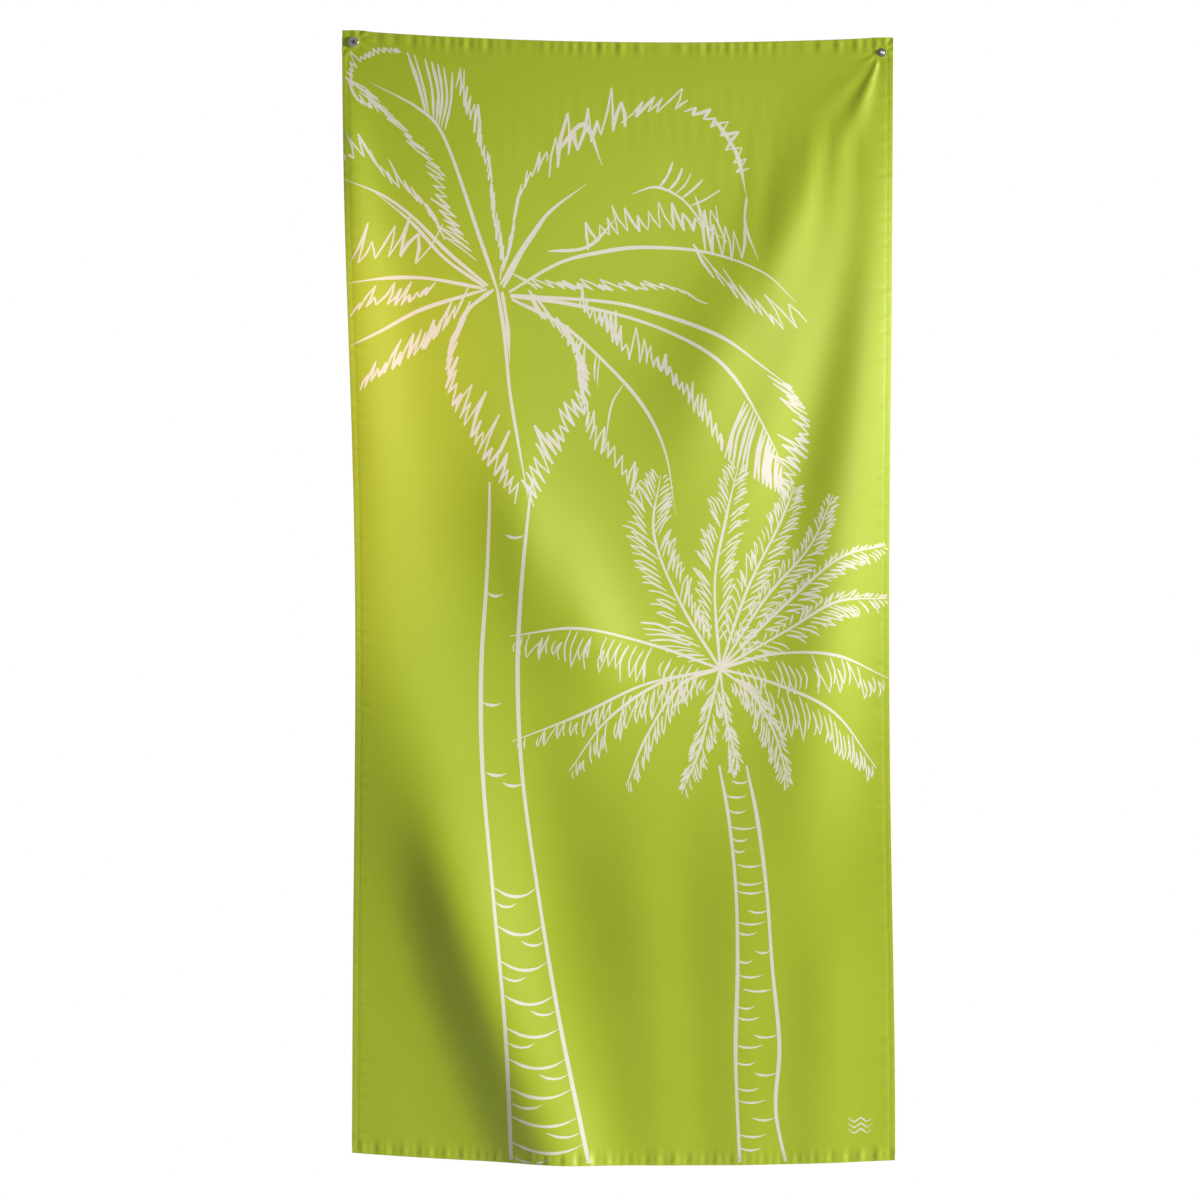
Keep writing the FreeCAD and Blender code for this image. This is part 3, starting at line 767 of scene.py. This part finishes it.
def cut_front(patches):
    """The front of the flat cloth, with triangle edges along the edge of the ink. Also returns which
    triangles are inked."""
    low = Vector((EDGE_MARGIN, EDGE_MARGIN))
    high = Vector((CLOTH_WIDTH, CLOTH_LENGTH)) / MM - low
    places = [Vector(place) / MM for place in grid_places()]
    edges = []
    for centre in FASTENERS:
        first = len(places)
        places.extend(Vector(place) / MM for place in ring_points(centre, HOLE_RADIUS, HOLE_SIDES))
        edges.extend((first + i, first + (i + 1) % HOLE_SIDES) for i in range(HOLE_SIDES))
    inside = [
        patch for patch in patches if all(low.x < p.x < high.x and low.y < p.y < high.y for p in patch)
    ]
    for patch in inside:
        first = len(places)
        places.extend(patch)
        edges.extend([(first, first + 1), (first + 1, first + 2), (first + 2, first)])
    flat, triangles, _ = triangulated(places, edges)
    corners = [point.to_3d() for patch in inside for point in patch]
    ink = BVHTree.FromPolygons(corners, np.arange(len(corners)).reshape(-1, 3).tolist())
    above, onto = Vector((0, 0, 1)), Vector((0, 0, -1))
    centres = flat[triangles].mean(1) / MM
    inked = np.array([ink.ray_cast(Vector((x, y, 0)) + above, onto)[0] is not None for x, y in centres])
    return flat, triangles, inked


def cut_back(flat, rim):
    """The back of the flat cloth, which meets the front's open edges. Also returns the back's number for each
    point of those edges."""
    border = np.unique(rim)
    places = [Vector(place) / MM for place in flat[border]]
    edges = np.searchsorted(border, rim).tolist()
    right, bottom = CLOTH_WIDTH - EDGE_MARGIN * MM, CLOTH_LENGTH - EDGE_MARGIN * MM
    inside = [place for place in grid_places() if min(place) > 0 and place[0] < right and place[1] < bottom]
    places.extend(Vector(place) / MM for place in inside)
    back, triangles, sources = triangulated(places, edges)
    match = np.full(len(flat), -1)
    shared = (sources >= 0) & (sources < len(border))
    match[border[sources[shared]]] = np.nonzero(shared)[0]
    return back, triangles, match


def open_edges(triangles):
    """Edges that only one triangle has, in that triangle's own direction."""
    edges = np.concatenate([triangles[:, [0, 1]], triangles[:, [1, 2]], triangles[:, [2, 0]]])
    size = triangles.max() + 1
    codes = edges[:, 0] * size + edges[:, 1]
    return edges[~np.isin(codes, edges[:, 1] * size + edges[:, 0])]


def new_piece(name, points, faces, flat, materials):
    """A smooth mesh object. Its points keep their place on the flat cloth, for the materials."""
    mesh = bpy.data.meshes.new(name)
    mesh.from_pydata(points.tolist(), [], faces)
    places = np.zeros((len(points), 3))
    places[:, :2] = flat
    mesh.attributes.new("flat", "FLOAT_VECTOR", "POINT").data.foreach_set("vector", places.ravel())
    for material in materials:
        mesh.materials.append(material)
    mesh.polygons.foreach_set("use_smooth", np.ones(len(mesh.polygons), bool))
    return add_object(name, mesh)


def make_panel(cloth, materials):
    """The towel itself: a printed front, a paler back, and the cut edges between them. materials are the bare
    cloth's, the ink's and the back's."""
    flat, triangles, inked = cut_front(draw_print())
    rim = open_edges(triangles)
    back_flat, back_triangles, match = cut_back(flat, rim)
    front, out = cloth.at(flat[:, 0], flat[:, 1], 0.0)
    back, back_out = cloth.at(back_flat[:, 0], back_flat[:, 1], CLOTH_THICKNESS)
    count = len(flat)
    behind = match[rim] + count
    sides = [
        np.stack([rim[:, 1], rim[:, 0], behind[:, 0]], -1),
        np.stack([rim[:, 1], behind[:, 0], behind[:, 1]], -1),
    ]
    faces = np.concatenate([triangles, back_triangles[:, ::-1] + count, *sides])
    slots = np.zeros(len(faces), np.int32)
    slots[: len(triangles)] = inked
    slots[len(triangles) : len(triangles) + len(back_triangles)] = 2
    points, places = np.concatenate([front, back]), np.concatenate([flat, back_flat])
    towel = new_piece("towel", points, faces.tolist(), places, materials)
    towel.data.polygons.foreach_set("material_index", slots)
    towel.data.update()
    towel.data.normals_split_custom_set_from_vertices(np.concatenate([out, -back_out]).tolist())
    return towel


# --------------------------------------------------------------------------------- hems and thread

# Each hem is the cloth's own edge, turned to the back. Its profile is (inwards from the edge, behind the
# cloth's front).
EDGE_BULGE = 0.55 * MM
NOSE_STEPS = 6
HEM_ROUND = 0.5 * MM
HEM_OVERLAP = 0.1 * MM
HEM_PITCH = 3 * MM


# place turns (along the edge, inwards from it) into (across, down)
Edge = namedtuple("Edge", "name length place")
EDGES = (
    Edge("top", CLOTH_WIDTH, lambda along, inwards: (along, inwards)),
    Edge("bottom", CLOTH_WIDTH, lambda along, inwards: (along, CLOTH_LENGTH - inwards)),
    Edge("left", CLOTH_LENGTH, lambda along, inwards: (inwards, along)),
    Edge("right", CLOTH_LENGTH, lambda along, inwards: (CLOTH_WIDTH - inwards, along)),
)


def hem_profile():
    """The folded edge: a round nose just outside the cloth's edge, then a flat strip behind the cloth."""
    middle = HEM_BACK / 2
    half = middle - HEM_OVERLAP
    nose = []
    for step in range(NOSE_STEPS + 1):
        turn = math.pi * (step / NOSE_STEPS - 0.5)
        nose.append((-EDGE_BULGE * math.cos(turn), middle + half * math.sin(turn)))
    strip = [
        (3 * HEM_ROUND, HEM_BACK),
        (0.6 * HEM_WIDTH, HEM_BACK),
        (HEM_WIDTH - HEM_ROUND, HEM_BACK),
        (HEM_WIDTH, HEM_BACK - HEM_ROUND),
        (HEM_WIDTH, CLOTH_THICKNESS - HEM_OVERLAP),
        (HEM_ROUND, CLOTH_THICKNESS - HEM_OVERLAP),
    ]
    return nose + strip


def swept(rows, columns):
    """Quads of a closed strip of rows times columns points, with both its ends filled."""
    faces = []
    for row in range(rows - 1):
        for column in range(columns):
            beside = (column + 1) % columns
            a, b = row * columns, (row + 1) * columns
            faces.append((a + column, a + beside, b + beside, b + column))
    faces.append(tuple(reversed(range(columns))))
    faces.append(tuple(range((rows - 1) * columns, rows * columns)))
    return faces


def closed_piece(name, points, faces, flat, material):
    """A closed mesh object whose faces all look out."""
    piece = new_piece(name, points, faces, flat, [material])
    mesh = bmesh.new()
    mesh.from_mesh(piece.data)
    bmesh.ops.recalc_face_normals(mesh, faces=mesh.faces)
    mesh.to_mesh(piece.data)
    mesh.free()
    return piece


def make_hem(cloth, edge, material):
    """The turned layers along one edge. The side hems end against the top and bottom ones."""
    inset = HEM_WIDTH if edge.name in ("left", "right") else 0.0
    steps = round((edge.length - 2 * inset) / HEM_PITCH)
    along = np.linspace(inset, edge.length - inset, steps + 1)
    profile = np.array(hem_profile())
    inwards = np.tile(profile[:, 0], len(along))
    behind = np.tile(profile[:, 1], len(along))
    across, down = edge.place(np.repeat(along, len(profile)), inwards)
    points = cloth.at(across, down, behind)[0]
    faces = swept(len(along), len(profile))
    return closed_piece("turned_hem_" + edge.name, points, faces, np.stack([across, down], -1), material)


STITCH_PITCH = 3.1 * MM
STITCH_LENGTH = 2.5 * MM
STITCH_WIDTH = 0.52 * MM
STITCH_HEIGHT = 0.34 * MM
# rings of a stitch: place as a share of its length, share of its thickness, and lift in millimetres
STITCH_RINGS = ((-0.5, 0.4, -0.16), (-0.3, 0.95, 0.08), (0.3, 0.95, 0.08), (0.5, 0.4, -0.16))
STITCH_SIDES = 6


def make_stitches(cloth, edge, name, depth, side, material):
    """A row of lockstitch along one edge, of short rounded bars whose ends dip into the cloth. side is 1 on
    the front and -1 on the back."""
    draw = random.Random(name)
    count = int((edge.length - 2 * STITCH_INSET) / STITCH_PITCH)
    starts = [STITCH_INSET + (k + 0.5 + draw.uniform(-0.05, 0.05)) * STITCH_PITCH for k in range(count)]
    rings = len(STITCH_RINGS)
    shares, sizes, lifts = (np.tile(column, count) for column in zip(*STITCH_RINGS))
    along = np.repeat(starts, rings) + shares * STITCH_LENGTH
    inwards = np.repeat([STITCH_INSET + draw.uniform(-0.12, 0.12) * MM for _ in starts], rings)
    across, down = edge.place(along, inwards)
    points, out = cloth.at(across, down, depth)
    forward = np.gradient(points.reshape(count, rings, 3), axis=1).reshape(-1, 3)
    forward /= np.linalg.norm(forward, axis=1, keepdims=True)
    sideways = np.cross(forward, out)
    all_points, flat = [], []
    for k in range(STITCH_SIDES):
        turn = 2 * math.pi * k / STITCH_SIDES
        wide = 0.5 * STITCH_WIDTH * math.cos(turn) * sizes
        high = 0.5 * STITCH_HEIGHT * math.sin(turn) * sizes + lifts * MM
        all_points.append(points + sideways * wide[:, None] + out * high[:, None] * side)
        flat.append(np.stack([along, np.full(len(along), turn * MM)], -1))
    all_points = np.stack(all_points, 1).reshape(-1, 3)
    flat = np.stack(flat, 1).reshape(-1, 2)
    one = swept(rings, STITCH_SIDES)
    size = rings * STITCH_SIDES
    faces = [tuple(size * k + corner for corner in face) for k in range(count) for face in one]
    return closed_piece(name, all_points, faces, flat, material)


# --------------------------------------------------------------------------------------- materials

LIME = (0.352, 0.432, 0.012)
LIME_DEEP = (0.327, 0.402, 0.009)
INK = (0.690, 0.630, 0.560)
INK_WORN = (0.600, 0.560, 0.450)
BACK_PALE = (0.560, 0.640, 0.300)
BACK_PALER = (0.610, 0.690, 0.360)
THREAD = (0.350, 0.480, 0.050)
THREAD_DARK = (0.240, 0.340, 0.025)
NICKEL = (0.700, 0.690, 0.660)
NICKEL_DULL = (0.560, 0.550, 0.520)
# the nickel darkened as painted shade for the socket cap and the stud body, and the colour of its worn
# patches
NICKEL_SHADED = (0.300, 0.295, 0.270)
NICKEL_SHADED_WORN = (0.170, 0.168, 0.150)
STEEL = (0.560, 0.570, 0.580)
STEEL_DULL = (0.420, 0.430, 0.440)


class Shader:
    """A material's node tree, with one short method for each kind of node that the towel needs."""

    def __init__(self, name):
        self.material = bpy.data.materials.new(name)
        self.material.use_nodes = True
        self.tree = self.material.node_tree
        self.tree.nodes.clear()
        self.surface = self.node("ShaderNodeBsdfPrincipled")
        self.node("ShaderNodeOutputMaterial", {"Surface": self.surface.outputs["BSDF"]})

    def feed(self, socket, value):
        """Gives a socket a fixed value, or links another node's output to it."""
        if isinstance(value, bpy.types.NodeSocket):
            self.tree.links.new(value, socket)
        else:
            socket.default_value = value

    def node(self, kind, inputs=None, **settings):
        node = self.tree.nodes.new(kind)
        for name, value in settings.items():
            setattr(node, name, value)
        for name, value in (inputs or {}).items():
            self.feed(node.inputs[name], value)
        return node

    def set(self, inputs):
        """Sets or links the surface's own sockets."""
        for name, value in inputs.items():
            self.feed(self.surface.inputs[name], value)

    def flat(self, scale=(1, 1, 1), turn=0.0):
        """The place on the flat cloth in metres, stretched and turned."""
        place = self.node("ShaderNodeAttribute", attribute_name="flat").outputs["Vector"]
        return self.mapped(place, scale, turn)

    def solid(self, scale=(1, 1, 1)):
        """The place in the object's own space in metres, stretched."""
        return self.mapped(self.node("ShaderNodeTexCoord").outputs["Object"], scale, 0.0)

    def mapped(self, place, scale, turn):
        inputs = {"Vector": place, "Scale": scale, "Rotation": (0, 0, turn)}
        return self.node("ShaderNodeMapping", inputs).outputs["Vector"]

    def noise(self, place, scale, detail=3.0, roughness=0.5):
        inputs = {"Vector": place, "Scale": scale, "Detail": detail, "Roughness": roughness}
        return self.node("ShaderNodeTexNoise", inputs).outputs["Fac"]

    def wave(self, place, scale, direction, distortion):
        inputs = {"Vector": place, "Scale": scale, "Distortion": distortion, "Detail": 1.0}
        node = self.node("ShaderNodeTexWave", inputs, wave_type="BANDS", bands_direction=direction)
        return node.outputs["Fac"]

    def ranged(self, value, low, high, start=0.0, end=1.0):
        """The value, whose start to end becomes low to high."""
        inputs = {"Value": value, "From Min": start, "From Max": end, "To Min": low, "To Max": high}
        return self.node("ShaderNodeMapRange", inputs).outputs["Result"]

    def maths(self, operation, a, b):
        return self.node("ShaderNodeMath", {0: a, 1: b}, operation=operation).outputs["Value"]

    def mixed(self, amount, a, b, blend="MIX"):
        a, b = ((*colour, 1.0) if isinstance(colour, tuple) else colour for colour in (a, b))
        inputs = {"Factor": amount, "A": a, "B": b}
        return self.node("ShaderNodeMix", inputs, data_type="RGBA", blend_type=blend).outputs["Result"]

    def bumped(self, height, distance, below=None):
        """The normal of a surface that rises with height, on top of another normal if there is one."""
        inputs = {"Height": height, "Distance": distance}
        if below is not None:
            inputs["Normal"] = below
        return self.node("ShaderNodeBump", inputs).outputs["Normal"]


# how fine each pattern is, in waves or blotches to the metre, and how deep its bump is
WEAVE = 320.0
WEAVE_DEPTH = 0.06 * MM
SLUBS = (14, 420, 1)
SLUB_DEPTH = 0.02 * MM
CREASES = (9, 7, 1)
CREASE_TURN = 0.25
CREASE_DEPTH = 0.5 * MM
CLOUDS = 9.0
NAP = 900.0
SHEEN_TINT = (0.93, 1.0, 0.72, 1.0)
TWIST = 380.0
TWIST_TURN = 0.6
TWIST_DEPTH = 0.08 * MM
FUZZ = 2600.0
FUZZ_DEPTH = 0.03 * MM
WEAR = 420.0
SCRATCHES = (300, 300, 4200)
SCRATCH_DEPTH = 0.01 * MM


def cloth_material(name, colour, other_colour, roughness, sheen):
    """Brushed microfibre: a fine weave with slubs along its rows, soft creases from folding, and a satin
    sheen."""
    shader = Shader(name)
    place = shader.flat()
    weave = shader.maths("MULTIPLY", *(shader.wave(place, WEAVE, direction, 1.2) for direction in "XY"))
    slubs = shader.noise(shader.flat(SLUBS), 1.0, 4.0, 0.6)
    clouds = shader.noise(place, CLOUDS, 5.0, 0.55)
    nap = shader.noise(place, NAP, 2.0, 0.6)
    creases = shader.noise(shader.flat(CREASES, CREASE_TURN), 1.0, 4.0, 0.5)
    tone = shader.maths(
        "ADD", shader.maths("MULTIPLY", slubs, 0.35), shader.maths("MULTIPLY", clouds, 0.45)
    )
    dyed = shader.mixed(shader.ranged(tone, 0.0, 0.8, 0.32, 0.68), other_colour, colour)
    rough = shader.maths("ADD", shader.ranged(nap, -0.05, 0.05), shader.ranged(clouds, -0.04, 0.04))
    bump = shader.bumped(creases, CREASE_DEPTH)
    bump = shader.bumped(slubs, SLUB_DEPTH, bump)
    bump = shader.bumped(weave, WEAVE_DEPTH, bump)
    shader.set({
        "Base Color": shader.mixed(1.0, dyed, shader.ranged(weave, 0.88, 1.0), "MULTIPLY"),
        "Roughness": shader.maths("ADD", rough, roughness),
        "Normal": bump,
        "Specular IOR Level": 0.5,
        "Sheen Weight": sheen,
        "Sheen Roughness": 0.45,
        "Sheen Tint": SHEEN_TINT,
    })
    return shader.material


def thread_material():
    """Spun polyester, twisted from plies that show as slanting bands along each stitch."""
    shader = Shader("sewing_thread")
    twist = shader.wave(shader.flat(turn=TWIST_TURN), TWIST, "X", 0.6)
    fuzz = shader.noise(shader.solid(), FUZZ, 2.0)
    shader.set({
        "Base Color": shader.mixed(twist, THREAD_DARK, THREAD),
        "Roughness": shader.ranged(fuzz, 0.5, 0.7),
        "Normal": shader.bumped(fuzz, FUZZ_DEPTH, shader.bumped(twist, TWIST_DEPTH)),
        "Sheen Weight": 0.2,
    })
    return shader.material


def metal_material(name, colour, dull_colour, roughness, brushed):
    """Plated or drawn metal with fine scratches, worn dull in patches."""
    shader = Shader(name)
    wear = shader.noise(shader.solid(), WEAR, 5.0, 0.6)
    scratches = shader.noise(shader.solid(SCRATCHES), 1.0, 3.0)
    worn = shader.ranged(wear, 0.0, 1.0, 0.45, 0.75)
    rough = shader.maths("ADD", shader.ranged(worn, 0.0, 0.12), shader.ranged(scratches, 0.0, brushed))
    shader.set({
        "Base Color": shader.mixed(worn, colour, dull_colour),
        "Roughness": shader.maths("ADD", rough, roughness),
        "Normal": shader.bumped(scratches, SCRATCH_DEPTH),
        "Metallic": 1.0,
    })
    return shader.material


def make_materials():
    return {
        "cloth": cloth_material("printed_cloth", LIME, LIME_DEEP, 0.41, 0.05),
        "ink": cloth_material("print_ink", INK, INK_WORN, 0.58, 0.05),
        "back": cloth_material("cloth_back", BACK_PALER, BACK_PALE, 0.66, 0.35),
        "hem": cloth_material("hem_cloth", LIME, LIME_DEEP, 0.54, 0.08),
        "thread": thread_material(),
        "nickel": metal_material("nickel_plate", NICKEL, NICKEL_DULL, 0.2, 0.1),
        # the same nickel plate darkened, as painted shade on the socket cap and the stud body
        "dull_nickel": metal_material("dull_nickel", NICKEL_SHADED, NICKEL_SHADED_WORN, 0.34, 0.15),
        "steel": metal_material("spring_wire", STEEL, STEEL_DULL, 0.28, 0.2),
    }


# ------------------------------------------------------------------------------------------ pieces


def declare(piece, slot, *nodes):
    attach(piece, "root")
    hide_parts(*nodes)


def make_towel(materials):
    start = hung_start()
    cloth = HangingCloth(calmed(settle(start)))
    towel = make_panel(cloth, [materials[name] for name in ("cloth", "ink", "back")])
    declare(towel, "printed_cloth", "towel_panel")
    for edge in EDGES:
        hem = make_hem(cloth, edge, materials["hem"])
        declare(hem, "hem_cloth", "hem_" + edge.name)
        for thread, depth, side in (("needle", 0.0, 1), ("bobbin", HEM_BACK, -1)):
            name = thread + "_stitches_" + edge.name
            row = make_stitches(cloth, edge, name, depth, side, materials["thread"])
            declare(row, "sewing_thread", thread + "_thread_" + edge.name)


def dress_fasteners(materials):
    """The press studs are the CAD nodes themselves, given their metals."""
    metals = {"socket_shell": "nickel", "stud_post": "nickel", "socket_spring": "steel"}
    # the socket cap and the stud body take the darkened nickel: painted shade
    metals |= {"socket_cap": "dull_nickel", "stud_body": "dull_nickel"}
    for name, metal in metals.items():
        node = NODES[name]
        node.data.materials.clear()
        node.data.materials.append(materials[metal])


# ------------------------------------------------------------------------------------------- stage

FLOOR_DROP = 0.36
FLOOR_RADIUS = 2.0
FLOOR_COLOUR = (0.86, 0.86, 0.86, 1)
AMBIENT = 0.29


def make_floor():
    low, high = -FLOOR_RADIUS, FLOOR_RADIUS
    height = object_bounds()[0][2] - FLOOR_DROP
    corners = [(low, low, height), (high, low, height), (high, high, height), (low, high, height)]
    mesh = bpy.data.meshes.new("floor")
    mesh.from_pydata(corners, [], [(0, 1, 2, 3)])
    paint = Shader("floor")
    paint.set({"Base Color": FLOOR_COLOUR, "Roughness": 0.8})
    mesh.materials.append(paint.material)
    floor = add_object("floor", mesh)


def aim(data, place, target):
    """Adds a light at a place, turned towards its target."""
    light = add_object(data.name, data)
    light.location = place
    light.rotation_euler = (Vector(target) - Vector(place)).to_track_quat("-Z", "Y").to_euler()


def make_softbox(name, place, target, size, watts):
    data = bpy.data.lights.new(name, "AREA")
    data.shape = "RECTANGLE"
    data.size, data.size_y = size
    data.energy = watts
    aim(data, place, target)


def make_spot(name, place, target, colour, watts, degrees):
    """A soft-edged spot."""
    data = bpy.data.lights.new(name, "SPOT")
    data.energy = watts
    data.color = colour
    data.spot_size = math.radians(degrees)
    data.spot_blend = 1.0
    data.shadow_soft_size = 0.05
    aim(data, place, target)


def make_lights():
    """A key from far to the right that models the folds, a glow on the front's upper middle, the warm patch
    at its left, and a rim light from behind."""
    middle = (0, 0, VIEW_UP)
    make_softbox("key", (6.8, -2.5, -0.3), middle, (1.2, 2.4), 1030)
    make_spot("glow", (0.9, -2.2, -0.45), (0.03, 0, -0.58), (1, 1, 1), 70, 34)
    make_spot("warm", (0.2, -1.2, 0.9), (-0.43, 0, -0.60), (1.0, 0.37, 0.0), 98, 17)
    make_softbox("rim", (4.2, 2.2, 0.5), middle, (1.2, 1.6), 190)


def make_world():
    """White behind everything that the camera sees, and a softer white as the light from all round."""
    world = bpy.data.worlds.new("studio")
    bpy.context.scene.world = world
    world.use_nodes = True
    tree = world.node_tree
    tree.nodes.clear()
    path = tree.nodes.new("ShaderNodeLightPath")
    either = tree.nodes.new("ShaderNodeMixShader")
    output = tree.nodes.new("ShaderNodeOutputWorld")
    tree.links.new(path.outputs["Is Camera Ray"], either.inputs[0])
    for number, strength in ((1, AMBIENT), (2, 1.0)):
        white = tree.nodes.new("ShaderNodeBackground")
        white.inputs["Color"].default_value = (1, 1, 1, 1)
        white.inputs["Strength"].default_value = strength
        tree.links.new(white.outputs[0], either.inputs[number])
    tree.links.new(either.outputs[0], output.inputs["Surface"])
    bpy.context.scene.view_settings.view_transform = "Standard"


make_world()
make_lights()
MATERIALS = make_materials()
make_towel(MATERIALS)
dress_fasteners(MATERIALS)
make_floor()
